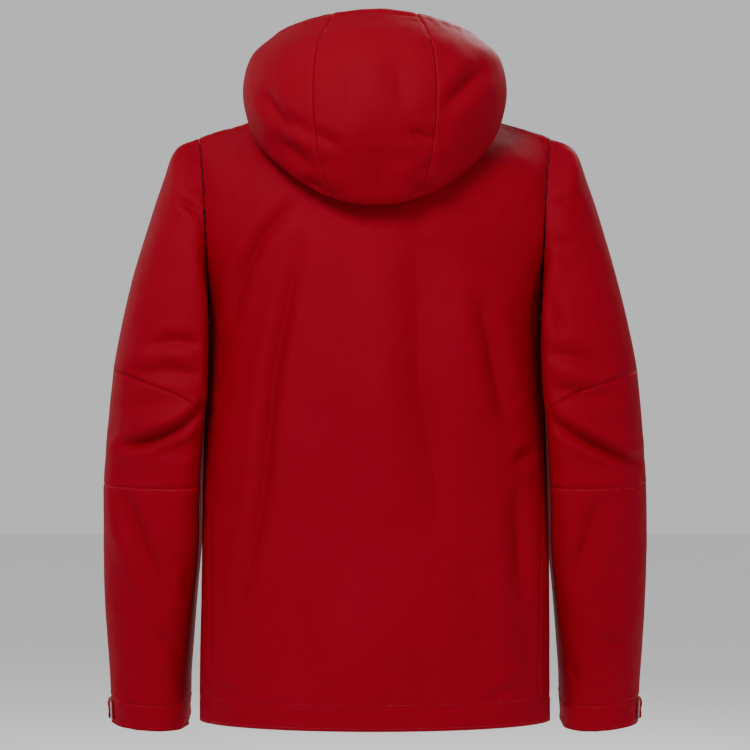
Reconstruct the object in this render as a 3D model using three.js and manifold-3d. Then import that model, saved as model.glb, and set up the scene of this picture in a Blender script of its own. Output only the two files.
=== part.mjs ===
// A men's hardshell jacket with a hood, in the shape it takes when it is worn, as an assembly of its cut panels,
// zips, cuff tabs and cord locks. Millimetres, +Z up. The front faces -Y, so the wearer's left side is +X.
// It is laid out from the middle of the neck opening, level with the back neck seam, and moved at the end so that
// the origin is where the hanger loop rests on a peg. Left-hand pieces are mirrored for the right.
import * as THREE from 'three';
import { mergeVertices } from 'three/addons/utils/BufferGeometryUtils.js';
import Module from 'manifold-3d';

const wasm = await Module();
wasm.setup();

// ---- Driving dimensions -------------------------------------------------------------------------------------

const FABRIC = 2;              // stands for the laminate and its seam allowance
const HEM_Z = -755;
const ARMPIT_Z = -262;
const FRONT_HEM_Y = -118;      // the front zip line at the hem
const FRONT_SLOPE = 0.0178;    // how far the straight zip line comes back for each millimetre up
const ZIP_TOP_Z = 28;
const NECK_POINT = 110;        // where the shoulder line meets the neck seam, in degrees round the collar
const NECK_SHARE = 0.36;       // the share of a panel's half width that its neckline takes
const SHOULDER = { x: 220, z: -34, gap: 3 };
const SEAM_GAP = 0.006;        // the gap kept beside a seam, as a share of a panel's width

const frontLine = (z) => FRONT_HEM_Y + (z - HEM_Z) * FRONT_SLOPE;
const lerp = THREE.MathUtils.lerp;
const radians = THREE.MathUtils.degToRad;
const vec = (x, y, z) => new THREE.Vector3(x, y, z);

// ---- Materials ----------------------------------------------------------------------------------------------

const material = (color, roughness, metalness = 0) =>
  new THREE.MeshStandardMaterial({ color, roughness, metalness });
const shell = material(0x960a16, 0.62);
const backer = material(0x8a8c90, 0.85);
const zipFilm = material(0x5a0a10, 0.5);
const coilNylon = material(0x2a1416, 0.45);
const darkMetal = material(0x1c1c1e, 0.35, 0.8);
const blackPlastic = material(0x161618, 0.55);
const webbing = material(0x1a1a1c, 0.8);
const loopPile = material(0x7d0a14, 0.95);

// ---- Building blocks ----------------------------------------------------------------------------------------

// A surface through a row of level lines: each level gives a point for s, and v runs from the first to the last.
const loft = (levels) => (s, v) =>
  new THREE.CatmullRomCurve3(levels.map((level) => level(s))).getPoint(THREE.MathUtils.clamp(v, 0, 1));

// The outward normal of a surface. Every surface here is laid out so that s cross v points out.
function normalAt(surface, s, v) {
  const step = 1e-3;
  const v0 = Math.max(0, v - step);
  const v1 = Math.min(1, v + step);
  const along = surface(s + step, v).sub(surface(s - step, v));
  const up = surface(s, v1).sub(surface(s, v0));
  return along.cross(up).normalize();
}

function offsetPoint(surface, s, v, offset) {
  return surface(s, v).addScaledVector(normalAt(surface, s, v), offset);
}

// A patch of a surface with thickness: a box whose top and bottom faces are bent onto it.
function sheet(surface, { s, v, cells, from = -FABRIC, to = 0 }) {
  const geometry = new THREE.BoxGeometry(1, 1, 1, cells[0], cells[1], 1);
  const position = geometry.getAttribute('position');
  for (let i = 0; i < position.count; i++) {
    const p = offsetPoint(
      surface,
      lerp(s[0], s[1], position.getX(i) + 0.5),
      lerp(v[0], v[1], position.getY(i) + 0.5),
      lerp(from, to, position.getZ(i) + 0.5),
    );
    position.setXYZ(i, p.x, p.y, p.z);
  }
  return geometry;
}

// A closed sleeve of a surface, with thickness: a torus whose section is the wall. s runs once round it.
function tube(surface, { v, cells, from = -FABRIC, to = 0 }) {
  const [round, along] = cells;
  const wall = 2 * along + 2;
  const geometry = new THREE.TorusGeometry(2, 1, wall, round);
  const position = geometry.getAttribute('position');
  const uv = geometry.getAttribute('uv');
  for (let i = 0; i < position.count; i++) {
    const step = Math.round(uv.getY(i) * wall) % wall;
    const outside = step <= along;
    const share = (outside ? step : wall - 1 - step) / along;
    const turn = uv.getX(i) % 1;
    const p = offsetPoint(surface, turn, lerp(v[0], v[1], share), outside ? to : from);
    position.setXYZ(i, p.x, p.y, p.z);
  }
  return geometry;
}

const box = (w, d, h, x = 0, y = 0, z = 0) => new THREE.BoxGeometry(w, d, h).translate(x, y, z);

// A rod along X.
const rodX = (radius, length, sides = 10) =>
  new THREE.CylinderGeometry(radius, radius, length, sides).rotateZ(Math.PI / 2);

function solidOf(geometry) {
  const bare = geometry.clone();
  bare.deleteAttribute('normal');
  bare.deleteAttribute('uv');
  const merged = mergeVertices(bare, 1e-4);
  return new wasm.Manifold(new wasm.Mesh({
    numProp: 3,
    vertProperties: new Float32Array(merged.attributes.position.array),
    triVerts: new Uint32Array(merged.index.array),
  }));
}

function geometryOf(solid) {
  const mesh = solid.getMesh();
  return new THREE.BufferGeometry()
    .setAttribute('position', new THREE.BufferAttribute(mesh.vertProperties, 3))
    .setIndex(new THREE.BufferAttribute(mesh.triVerts, 1));
}

const join = (...parts) => geometryOf(parts.map(solidOf).reduce((a, b) => a.add(b)));
const cut = (body, ...tools) => geometryOf(tools.map(solidOf).reduce((a, b) => a.subtract(b), solidOf(body)));

// ---- The group and its two sides ----------------------------------------------------------------------------

const jacket = new THREE.Group();
const mirrored = new THREE.Group();
mirrored.scale.x = -1;
jacket.add(mirrored);

function add(name, geometry, look, parent = jacket) {
  const mesh = new THREE.Mesh(geometry, look);
  mesh.name = name;
  parent.add(mesh);
  return mesh;
}

function addPair(name, geometry, look) {
  add(`${name}_left`, geometry, look);
  add(`${name}_right`, geometry, look, mirrored);
}

// A group whose +Z runs up a zip and whose +Y points out of the garment.
function frameAt(origin, outward, up, parent = jacket) {
  const z = up.clone().normalize();
  const y = outward.clone().addScaledVector(z, -outward.dot(z)).normalize();
  const x = y.clone().cross(z);
  const frame = new THREE.Group();
  frame.position.copy(origin);
  frame.quaternion.setFromRotationMatrix(new THREE.Matrix4().makeBasis(x, y, z));
  parent.add(frame);
  return frame;
}

// ---- Body: levels shared by the back, front and side panels ---------------------------------------------------

// A level round the body. Angles are in degrees from the zip, through the wearer's left, and seams holds the two
// between which the side panel lies: it narrows towards the armpit.
const bodyRing = (z, half, back, seams) => ({
  z,
  seams,
  at: (angle) => {
    const a = radians(angle);
    const depth = Math.cos(a) > 0 ? -frontLine(z) : back;
    return vec(half * Math.sin(a), -depth * Math.cos(a), z);
  },
});
const bodyRings = [
  bodyRing(HEM_Z, 219, 122, [72, 112]),
  bodyRing(-600, 217.5, 121, [74, 110]),
  bodyRing(-430, 214, 120, [78, 105]),
  bodyRing(ARMPIT_Z, 209, 124, [82, 100]),
];
const bodyTube = loft(bodyRings.map((ring) => ring.at));

// An elliptical line across a panel above the armpit, from its middle to its armhole edge at s = 1.
const archLevel = (middle, edge) => {
  const turn = Math.acos(edge.y / middle.y);
  const half = edge.x / Math.sin(turn);
  return (s) => vec(half * Math.sin(turn * s), middle.y * Math.cos(turn * s), lerp(middle.z, edge.z, s * s));
};

// The neck seam: an oval that is lowest in front and highest beside the neck.
const neckSeam = (angle) => {
  const a = radians(angle);
  const front = -frontLine(-62);
  const back = 62;
  const z = -7 - 30 * Math.cos(a) - 25 * Math.cos(2 * a);
  return vec(80 * Math.sin(a), (back - front) / 2 - ((back + front) / 2) * Math.cos(a), z);
};

// The top line of a panel: the neckline up to the neck point, then the shoulder seam.
const topLevel = (neckAngle, side) => (s) => {
  const share = Math.abs(s) / NECK_SHARE;
  const neck = neckSeam(neckAngle(Math.min(share, 1)));
  neck.y += side * SHOULDER.gap * Math.min(share, 1) ** 2;
  const point = share <= 1
    ? neck
    : neck.lerp(vec(SHOULDER.x, side * SHOULDER.gap, SHOULDER.z), (share - 1) / (1 / NECK_SHARE - 1));
  point.x *= Math.sign(s) || 1;
  return point;
};

const backSurface = (() => {
  const levels = [
    ...bodyRings.map((ring) => (s) => ring.at(180 - (180 - ring.seams[1]) * s)),
    archLevel(vec(0, 120, -135), vec(208, 60, -150)),
    archLevel(vec(0, 103, -66), vec(213, 40, -82)),
    topLevel((share) => 180 - (180 - NECK_POINT) * share, 1),
  ];
  const surface = loft(levels);
  return (s, v) => surface(-s, v);
})();

const frontSurface = loft([
  ...bodyRings.map((ring) => (s) => ring.at(ring.seams[0] * s)),
  archLevel(vec(0, frontLine(-160), -160), vec(207, -58, -150)),
  archLevel(vec(0, frontLine(-108), -108), vec(213, -40, -82)),
  topLevel((share) => NECK_POINT * share, -1),
]);

const EDGE_S = 0.031;          // where the front panel's edge stands clear of the zip
add('back_panel', sheet(backSurface, { s: [-1 + SEAM_GAP, 1 - SEAM_GAP], v: [0, 0.996], cells: [18, 16] }), shell);

// The side panel's edges follow those of the front and back panels, whose armpit level is halfway up.
const sideLoft = loft(bodyRings.map((ring) => (s) => ring.at(lerp(...ring.seams, s))));
const sideSurface = (s, v) => sideLoft(s, v)
  .addScaledVector(frontSurface(1, v / 2).sub(sideLoft(0, v)), 1 - s)
  .addScaledVector(backSurface(-1, v / 2).sub(sideLoft(1, v)), s);
addPair('side_panel', sheet(sideSurface, { s: [0.03, 0.97], v: [0, 1], cells: [5, 8] }), shell);

// ---- Zips ---------------------------------------------------------------------------------------------------

// Depths below the outside of the fabric, for the tape, the coil on its inner side and the slider round both.
const TAPE = { from: -6, to: -4.6, edge: 1.7 };
const COIL = { from: -8.2, to: -6.3, width: 2.6 };
const PIN_RADIUS = 0.7;
const SLIDER = { length: 17, half: 5.4, lower: [-10.4, -8.7], upper: [-4, 0.4], web: 1.1, pinOut: 3.4 };

// An I-shaped slider: two plates joined by a narrow web, with two lugs and a pin for its pull.
function sliderGeometry() {
  const { length, half, lower, upper, web, pinOut } = SLIDER;
  const lug = (x) => box(1.2, pinOut + 2.3, 4, x, upper[1] + (pinOut + 0.3) / 2, 3);
  return join(
    box(2 * half, upper[1] - upper[0], length, 0, (upper[0] + upper[1]) / 2, 0),
    box(2 * half, lower[1] - lower[0], length, 0, (lower[0] + lower[1]) / 2, 0),
    box(2 * web, upper[1] - lower[0], length * 0.45, 0, (upper[1] + lower[0]) / 2, length * 0.2),
    lug(-3.2),
    lug(3.2),
    rodX(PIN_RADIUS, 6.4).translate(0, upper[1] + pinOut, 3),
  );
}

// A flat pull that hangs from the pin through a square eye, with a moulded grip at its end.
function pullGeometry(length) {
  const out = SLIDER.upper[1] + SLIDER.pinOut;
  const outline = new THREE.Shape([
    new THREE.Vector2(-2.2, 2.6),
    new THREE.Vector2(2.2, 2.6),
    new THREE.Vector2(2.2, -6),
    new THREE.Vector2(3.4, -10),
    new THREE.Vector2(3.4, -length),
    new THREE.Vector2(-3.4, -length),
    new THREE.Vector2(-3.4, -10),
    new THREE.Vector2(-2.2, -6),
  ]);
  const flat = new THREE.ExtrudeGeometry(outline, { depth: 3, bevelEnabled: false });
  flat.rotateX(Math.PI / 2).translate(0, out + 1.5, 3);
  return cut(flat, rodX(PIN_RADIUS + 0.35, 8).translate(0, out, 3));
}

// A tape with a slot down its middle and a coil bar on each side of the slot.
function pocketTapeGeometry(length) {
  const half = 13;
  const slot = length / 2 - 5;
  const coil = (x) => box(COIL.width, COIL.to - COIL.from + 0.6, 2 * slot, x, (COIL.to + COIL.from) / 2, 0);
  const offset = TAPE.edge + COIL.width / 2;
  const tape = box(2 * half, TAPE.to - TAPE.from, length, 0, (TAPE.to + TAPE.from) / 2, 0);
  return cut(join(tape, coil(offset), coil(-offset)), box(2 * TAPE.edge, 20, 2 * slot));
}

// A zip on the left front panel: a straight line between two heights on the panel at one s.
function pocketZip(s, v) {
  const ends = v.map((at) => frontSurface(s, at));
  const middle = (v[0] + v[1]) / 2;
  const up = ends[1].clone().sub(ends[0]);
  const centre = ends[0].clone().add(ends[1]).multiplyScalar(0.5);
  return { centre, outward: normalAt(frontSurface, s, middle), up, length: up.length() };
}

const handZip = pocketZip(0.62, [0.14, 0.36]);
const chestZip = pocketZip(0.405, [0.52, 0.66]);
const SLIT_WIDTH = 13;

// A box that cuts a zip's slit through a front panel.
function slitCutter({ centre, outward, up, length }) {
  const frame = frameAt(centre, outward, up, new THREE.Group());
  frame.updateMatrix();
  return new THREE.BoxGeometry(SLIT_WIDTH, 16, length - 12).applyMatrix4(frame.matrix);
}

const frontPanel = sheet(frontSurface, { s: [EDGE_S, 1 - SEAM_GAP], v: [0, 0.996], cells: [12, 15] });
add('front_panel_left', cut(frontPanel, slitCutter(handZip), slitCutter(chestZip)), shell);
add('front_panel_right', cut(frontPanel, slitCutter(handZip)), shell, mirrored);

const SLIDER_PARK = SLIDER.length / 2 + 8;   // how far a parked slider's middle is from the end of its slot

function addPocketZip(name, zip, parent, suffix) {
  const frame = frameAt(zip.centre, zip.outward, zip.up, parent);
  const park = zip.length / 2 - SLIDER_PARK;
  add(`${name}_zip_tape${suffix}`, pocketTapeGeometry(zip.length), zipFilm, frame);
  add(`${name}_zip_slider${suffix}`, sliderGeometry(), darkMetal, frame).position.z = park;
  add(`${name}_zip_pull${suffix}`, pullGeometry(30), blackPlastic, frame).position.z = park;
}

addPocketZip('hand', handZip, jacket, '_left');
addPocketZip('hand', handZip, mirrored, '_right');
addPocketZip('chest', chestZip, jacket, '');

// Flat, empty pocket bags behind the front panels, clear of the zips' lower plates.
const BAG = { from: -14, to: -12 };
addPair('hand_pocket_bag', sheet(frontSurface, { s: [0.22, 0.78], v: [0.1, 0.42], cells: [6, 4], ...BAG }), backer);
add('chest_pocket_bag', sheet(frontSurface, { s: [0.2, 0.56], v: [0.47, 0.7], cells: [4, 3], ...BAG }), backer);

// The front zip runs in one straight line from the hem to the top of the collar.
const frontUp = vec(0, FRONT_SLOPE, 1);
const frontOut = vec(0, -1, FRONT_SLOPE);
const zipLength = (ZIP_TOP_Z - HEM_Z) / frontUp.clone().normalize().z;
const zipMiddleZ = (ZIP_TOP_Z + HEM_Z) / 2;
const frontZip = frameAt(vec(0, frontLine(zipMiddleZ), zipMiddleZ), frontOut, frontUp);
const END_BLOCK = 11;          // the height of the bottom box and pin
const TAPE_WIDTH = 12;

// In the zip's frame +X is the wearer's right.
for (const [side, sign] of [['left', -1], ['right', 1]]) {
  const tapeX = sign * (TAPE.edge + TAPE_WIDTH / 2);
  const coilX = sign * (TAPE.edge + COIL.width / 2);
  const depth = (part) => (part.to + part.from) / 2;
  const above = zipLength - END_BLOCK - 1;
  add(`zip_tape_${side}`, box(TAPE_WIDTH, TAPE.to - TAPE.from, zipLength, tapeX, depth(TAPE), 0), zipFilm, frontZip);
  add(`zip_coil_${side}`, box(COIL.width, COIL.to - COIL.from - 0.3, above, coilX, depth(COIL) - 0.15,
    (END_BLOCK + 1) / 2), coilNylon, frontZip);
}
const endBlockZ = -zipLength / 2 + END_BLOCK / 2;
add('zip_box', box(5.6, 2.4, END_BLOCK, 3, -7.6, endBlockZ), blackPlastic, frontZip);
add('zip_pin', box(2.6, 2.4, END_BLOCK, -3, -7.6, endBlockZ), blackPlastic, frontZip);
const sliderZ = zipLength / 2 - SLIDER.length / 2 - 3;
add('zip_slider', sliderGeometry(), darkMetal, frontZip).position.z = sliderZ;
add('zip_pull', pullGeometry(38), blackPlastic, frontZip).position.z = sliderZ;
const flapHeight = HEM_Z + 40;
add('storm_flap', box(46, 1.5, -75 - flapHeight, 0, -12.5, (flapHeight - 75) / 2 - zipMiddleZ), shell, frontZip);

// ---- Hem ----------------------------------------------------------------------------------------------------

const HEM_DEPTH = 33;
const hemShare = HEM_DEPTH / (bodyRings[1].z - HEM_Z) / (bodyRings.length - 1);
const HEM_OPEN = 13;           // degrees left open each side of the zip
add('hem_facing', sheet(bodyTube, {
  s: [HEM_OPEN, 360 - HEM_OPEN], v: [0, hemShare], cells: [30, 1], from: -7, to: -5.5,
}), shell);

// Cord locks sewn inside the hem beside the side panels, each with a sprung button on top, and an eyelet.
const LOCK_ANGLE = 58;
const EYELET_ANGLE = 50;
const LOCK = { width: 13, depth: 8, height: 16, inset: -12, bore: 2.2, button: 4.2, travel: 4 };
const lockBody = cut(
  box(LOCK.width, LOCK.depth, LOCK.height, 0, LOCK.inset, -2),
  rodX(LOCK.bore, 30).translate(0, LOCK.inset, -5),
  box(LOCK.button + 0.8, 4.8, 12, 0, LOCK.inset, 4.5),
);
const lockButton = join(
  box(LOCK.button, 4, 8, 0, LOCK.inset, 7.2),
  box(8, 6, 3, 0, LOCK.inset, 12.2),
);
const eyelet = new THREE.LatheGeometry([
  new THREE.Vector2(2.2, 0),
  new THREE.Vector2(5, 0),
  new THREE.Vector2(5, 0.9),
  new THREE.Vector2(2.2, 0.9),
  new THREE.Vector2(2.2, 0),
], 16).translate(0, -9.8, 0);
const hemFrame = (angle, parent) => {
  const place = offsetPoint(bodyTube, angle, hemShare / 2, 0);
  return frameAt(place, normalAt(bodyTube, angle, hemShare / 2), vec(0, 0, 1), parent);
};
for (const [parent, suffix] of [[jacket, '_left'], [mirrored, '_right']]) {
  const lockFrame = hemFrame(LOCK_ANGLE, parent);
  add(`hem_cord_lock${suffix}`, lockBody, blackPlastic, lockFrame);
  add(`hem_cord_lock_button${suffix}`, lockButton, blackPlastic, lockFrame);
  add(`hem_eyelet${suffix}`, eyelet, darkMetal, hemFrame(EYELET_ANGLE, parent));
}

// ---- Collar -------------------------------------------------------------------------------------------------

// The top edge of the collar, level with the zip's top in front.
const collarTop = (angle) => {
  const a = radians(angle);
  const front = -frontLine(ZIP_TOP_Z);
  const back = 53;
  const z = 44 - 15 * Math.cos(a) - 2 * Math.cos(2 * a);
  return vec(74 * Math.sin(a), (back - front) / 2 - ((back + front) / 2) * Math.cos(a), z);
};
const collarSurface = loft([neckSeam, collarTop]);
const COLLAR_OPEN = 6.2;       // degrees from the middle of the zip to the collar's edge
add('collar', sheet(collarSurface, {
  s: [COLLAR_OPEN, 360 - COLLAR_OPEN], v: [0.05, 1], cells: [26, 3],
}), shell);
add('collar_lining', sheet(collarSurface, {
  s: [18, 342], v: [0.06, 0.97], cells: [24, 2], from: -11.5, to: -9.5,
}), backer);
add('chin_guard', sheet(collarSurface, {
  s: [-13, 13], v: [0.3, 0.92], cells: [3, 2], from: -13.5, to: -11.5,
}), backer);

// A webbing loop inside the back neck, with room for a peg behind its middle.
const LOOP = { half: 32, width: 10, thick: 1.6, bow: 11, y: 39, z: 8 };
const loopShape = new THREE.Shape();
loopShape.moveTo(-LOOP.half, 0);
loopShape.lineTo(-LOOP.half + 8, 0);
loopShape.lineTo(-LOOP.half + 14, -LOOP.bow + LOOP.thick);
loopShape.lineTo(LOOP.half - 14, -LOOP.bow + LOOP.thick);
loopShape.lineTo(LOOP.half - 8, 0);
loopShape.lineTo(LOOP.half, 0);
loopShape.lineTo(LOOP.half, -LOOP.thick);
loopShape.lineTo(LOOP.half - 7, -LOOP.thick);
loopShape.lineTo(LOOP.half - 13, -LOOP.bow);
loopShape.lineTo(-LOOP.half + 13, -LOOP.bow);
loopShape.lineTo(-LOOP.half + 7, -LOOP.thick);
loopShape.lineTo(-LOOP.half, -LOOP.thick);
const loopStrap = new THREE.ExtrudeGeometry(loopShape, { depth: LOOP.width, bevelEnabled: false });
add('hanger_loop', loopStrap, webbing).position.set(0, LOOP.y, LOOP.z);

// ---- Sleeves ------------------------------------------------------------------------------------------------

// A ring of the left sleeve between its outermost and innermost points, given as x and z. It is deep from front
// to back, flatter on the inside, and hugs the body by so much. The forearm's rings come forward and tip.
// s runs once round, from the outside to the front, inside and back.
const sleeveRing = (outer, inner, depth, hug, forward = 0, tip = 0) => (s) => {
  const a = -2 * Math.PI * s;
  const y = depth * Math.sin(a);
  const share = (Math.cos(a) + 1) / 2;
  return vec(
    lerp(inner[0], outer[0], share ** 1.5) - hug * Math.sin(a) ** 2 * (1 - share),
    y - forward,
    lerp(inner[1], outer[1], share) - tip * y,
  );
};
const upperRings = [
  sleeveRing([223, -33], [211, -262], 58, 14),
  sleeveRing([247, -43], [213, -284], 64, 20),
  sleeveRing([266, -86], [214, -308], 70, 28),
  sleeveRing([288, -154], [215, -334], 74, 34),
  sleeveRing([310, -234], [216, -360], 75, 36),
  sleeveRing([327, -318], [217, -384], 73, 34),
  sleeveRing([335, -398], [218, -404], 69, 32, 2),
];
const lowerRings = [
  sleeveRing([336, -404], [218, -409], 68, 32, 2),
  sleeveRing([338, -432], [219, -434], 67, 28, 6, 0.04),
  sleeveRing([340, -460], [220, -460], 66, 24, 10, 0.08),
  sleeveRing([342, -534], [221, -534], 62, 22, 24, 0.14),
  sleeveRing([341, -626], [226, -626], 57, 8, 42, 0.17),
  sleeveRing([337, -708], [232, -708], 52, 0, 57, 0.17),
  sleeveRing([335, -765], [236, -765], 49, 0, 67, 0.17),
];
const upperSleeve = loft(upperRings);
const lowerSleeve = loft(lowerRings);
const levelShare = (rings, index) => index / (rings.length - 1);
const ELBOW_TOP = levelShare(upperRings, 5);
const ELBOW_SEAM = levelShare(lowerRings, 2);
const CUFF_SEAM = levelShare(lowerRings, 5.4);
const RING_GAP = 0.003;
const ROUND = 18;
const elbowSleeve = loft([upperRings[5], upperRings[6], ...lowerRings.slice(1, 3)]);
const addTube = (name, surface, v, along) => addPair(name, tube(surface, { v, cells: [ROUND, along] }), shell);
addTube('upper_sleeve', upperSleeve, [2 * RING_GAP, ELBOW_TOP - RING_GAP], 8);
addTube('elbow_panel', elbowSleeve, [RING_GAP, 1 - RING_GAP], 4);
addTube('lower_sleeve', lowerSleeve, [ELBOW_SEAM + RING_GAP, CUFF_SEAM - RING_GAP], 5);
addTube('cuff', lowerSleeve, [CUFF_SEAM + RING_GAP, 1], 1);

// A tab that closes the cuff: sewn at the front and pressed onto a loop patch that reaches the outside.
const TAB_V = [levelShare(lowerRings, 5.5), levelShare(lowerRings, 5.92)];
addPair('cuff_loop_patch', sheet(lowerSleeve, { s: [-0.05, 0.13], v: TAB_V, cells: [5, 1], from: 0.9, to: 1.9 }), loopPile);
addPair('cuff_tab', sheet(lowerSleeve, { s: [-0.02, 0.29], v: TAB_V, cells: [9, 1], from: 2.3, to: 4.5 }), shell);

// ---- Hood, folded down on the back ----------------------------------------------------------------------------

// A line round the hood through its front end, side, rear corner and back on the left, mirrored on the right.
const hoodLevel = (end, side, corner, back) => {
  const left = [end, side, corner].map((p) => vec(...p));
  const right = [corner, side, end].map((p) => vec(-p[0], p[1], p[2]));
  const line = new THREE.CatmullRomCurve3([...left, vec(...back), ...right]);
  return (s) => line.getPoint(THREE.MathUtils.clamp((s + 1) / 2, 0, 1));
};
const hoodLevels = [
  hoodLevel([94, -14, 30], [112, 44, 2], [62, 92, -44], [0, 103, -58]),
  hoodLevel([106, -20, 34], [147, 68, -28], [72, 130, -104], [0, 141, -121]),
  hoodLevel([116, -24, 40], [159, 70, 0], [94, 152, -56], [0, 172, -66]),
  hoodLevel([121, -26, 50], [161, 66, 32], [102, 156, 6], [0, 183, 2]),
  hoodLevel([117, -26, 60], [151, 54, 68], [96, 134, 66], [0, 158, 74]),
  hoodLevel([104, -26, 68], [126, 36, 92], [72, 92, 110], [0, 104, 119]),
];
const hoodSurface = loft(hoodLevels);
const HOOD_SEAM = 0.23;        // half of the centre panel's share of the way round
const HOOD_GAP = 0.004;
add('hood_center_panel', sheet(hoodSurface, {
  s: [-HOOD_SEAM + HOOD_GAP, HOOD_SEAM - HOOD_GAP], v: [0, 1], cells: [6, 12],
}), shell);
addPair('hood_side_panel', sheet(hoodSurface, {
  s: [-1, -HOOD_SEAM - HOOD_GAP], v: [0, 1], cells: [10, 12],
}), shell);
add('hood_facing', sheet(hoodSurface, { s: [-0.98, 0.98], v: [0.9, 0.995], cells: [22, 1], from: -8, to: -6.4 }), backer);
add('brim_stiffener', sheet(hoodSurface, { s: [-0.4, 0.4], v: [0.86, 0.985], cells: [8, 2], from: -5, to: -3.6 }), blackPlastic);

// The strip that joins the hood to the neck seam, hidden under the folded hood.
const hoodNeckTop = (s) => {
  const seam = neckSeam(180 - s * 84);
  const outward = seam.clone().setZ(0).sub(vec(0, -22, 0)).normalize();
  return seam.addScaledVector(outward, 4).add(vec(0, 0, 5));
};
const hoodNeck = loft([
  (s) => hoodNeckTop(-s),
  (s) => hoodNeckTop(-s).lerp(hoodLevels[0](s), 0.5).add(vec(0, 3, 4)),
  hoodLevels[0],
]);
add('hood_neck', sheet(hoodNeck, { s: [-0.97, 0.97], v: [0, 0.93], cells: [18, 3] }), shell);

// The origin goes to the middle of the hanger loop's underside, where a peg carries the jacket.
jacket.position.set(0, LOOP.bow - LOOP.thick / 2 - LOOP.y, -LOOP.z);
const part = new THREE.Group();
part.add(jacket);

export default part;
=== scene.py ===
import math

import bpy
import numpy as np
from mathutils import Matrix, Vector


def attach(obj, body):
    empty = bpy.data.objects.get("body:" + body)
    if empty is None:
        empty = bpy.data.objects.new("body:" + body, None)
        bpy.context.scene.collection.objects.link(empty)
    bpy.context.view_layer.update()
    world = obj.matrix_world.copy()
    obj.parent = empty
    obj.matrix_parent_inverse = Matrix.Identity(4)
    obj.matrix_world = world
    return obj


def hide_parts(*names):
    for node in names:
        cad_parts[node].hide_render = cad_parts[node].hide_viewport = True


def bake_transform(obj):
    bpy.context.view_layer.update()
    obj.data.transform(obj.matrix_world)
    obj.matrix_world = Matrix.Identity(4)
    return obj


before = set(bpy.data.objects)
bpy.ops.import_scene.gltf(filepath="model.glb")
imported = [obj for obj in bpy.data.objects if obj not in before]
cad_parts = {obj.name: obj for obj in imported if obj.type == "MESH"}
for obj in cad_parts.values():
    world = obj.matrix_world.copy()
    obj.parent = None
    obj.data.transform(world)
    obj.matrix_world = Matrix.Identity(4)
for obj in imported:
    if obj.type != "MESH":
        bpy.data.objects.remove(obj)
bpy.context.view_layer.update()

MM = 0.001
SHIFT = np.array([0.0, -28.8, -8.0])  # from the layout's origin to the frame's
CELL = 3.1     # the size of a cloth mesh's cells
FABRIC = 1.2                          # how thick the cloth looks
SIDES = (("_left", False), ("_right", True))

# ---- Surfaces ----

HEM_Z, ARMPIT_Z, FRONT_SLOPE = -755.0, -262.0, 0.0178
NECK_POINT, NECK_SHARE = 110.0, 0.36
SHOULDER_X, SHOULDER_Z = 220.0, -34.0
ZIP_TOP_Z = 28.0


def front_line(z):
    return -118.0 + (z - HEM_Z) * FRONT_SLOPE


def vec(x, y, z):
    """Points from three numbers or arrays of the same length."""
    return np.stack(np.broadcast_arrays(x, y, z), -1).astype(float)


def spline(points, v):
    """The centripetal curve through points (levels, n, 3), at v (n,) from 0 to 1."""
    count = len(points)
    p = np.clip(v, 0, 1) * (count - 1)
    i = np.minimum(p.astype(int), count - 2)
    w = (p - i)[:, None]
    before = 2 * points[0] - points[1]
    after = 2 * points[-1] - points[-2]
    rows = np.concatenate([before[None], points, after[None]])
    n = np.arange(points.shape[1])
    x0, x1, x2, x3 = rows[i, n], rows[i + 1, n], rows[i + 2, n], rows[i + 3, n]

    def span(a, b):
        return (np.sum((a - b) ** 2, -1) ** 0.25)[:, None]

    d0, d1, d2 = span(x0, x1), span(x1, x2), span(x2, x3)
    d1 = np.where(d1 < 1e-4, 1.0, d1)
    d0 = np.where(d0 < 1e-4, d1, d0)
    d2 = np.where(d2 < 1e-4, d1, d2)
    t1 = ((x1 - x0) / d0 - (x2 - x0) / (d0 + d1) + (x2 - x1) / d1) * d1
    t2 = ((x2 - x1) / d1 - (x3 - x1) / (d1 + d2) + (x3 - x2) / d2) * d1
    cubic = (2 * x1 - 2 * x2 + t1 + t2) * w + (-3 * x1 + 3 * x2 - 2 * t1 - t2)
    return (cubic * w + t1) * w + x1


def loft(levels):
    return lambda s, v: spline(np.stack([level(s) for level in levels]), v)


def ring(z, half, back):
    def at(angle):
        a = np.radians(angle)
        depth = np.where(np.cos(a) > 0, -front_line(z), back)
        return vec(half * np.sin(a), -depth * np.cos(a), z)

    return at


# The body's levels, from the hem to the armpits, and the angles at which the side seams cut each.
RINGS = [ring(HEM_Z, 219, 122), ring(-600, 217.5, 121), ring(-430, 214, 120), ring(ARMPIT_Z, 209, 124)]
SEAMS = [(72, 112), (74, 110), (78, 105), (82, 100)]
body_tube = loft(RINGS)


def arch(middle, edge):
    turn = math.acos(edge[1] / middle[1])
    half = edge[0] / math.sin(turn)
    return lambda s: vec(half * np.sin(turn * s), middle[1] * np.cos(turn * s),
                         middle[2] + (edge[2] - middle[2]) * s * s)


def neck_ring(angle, half, back, low_z, mean, tilt, dip):
    """A loop round the neck, lowest at the front, with its front on the line of the zip at low_z."""
    a = np.radians(angle)
    front = -front_line(low_z)
    z = mean - tilt * np.cos(a) - dip * np.cos(2 * a)
    return vec(half * np.sin(a), (back - front) / 2 - ((back + front) / 2) * np.cos(a), z)


def neck_seam(angle):
    return neck_ring(angle, 80, 62, -62, -7, 30, 25)


def top_level(neck_angle):
    """The shoulder line: round the neck from the middle, then straight out to the shoulder point."""
    def at(s):
        share = np.abs(s) / NECK_SHARE
        near = np.minimum(share, 1)
        neck = neck_seam(neck_angle(near))
        k = np.maximum((share - 1) / (1 / NECK_SHARE - 1), 0)[..., None]
        point = neck + (np.array([SHOULDER_X, 0.0, SHOULDER_Z]) - neck) * k
        point[..., 0] *= np.where(s < 0, -1, 1)
        return point

    return at


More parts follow.
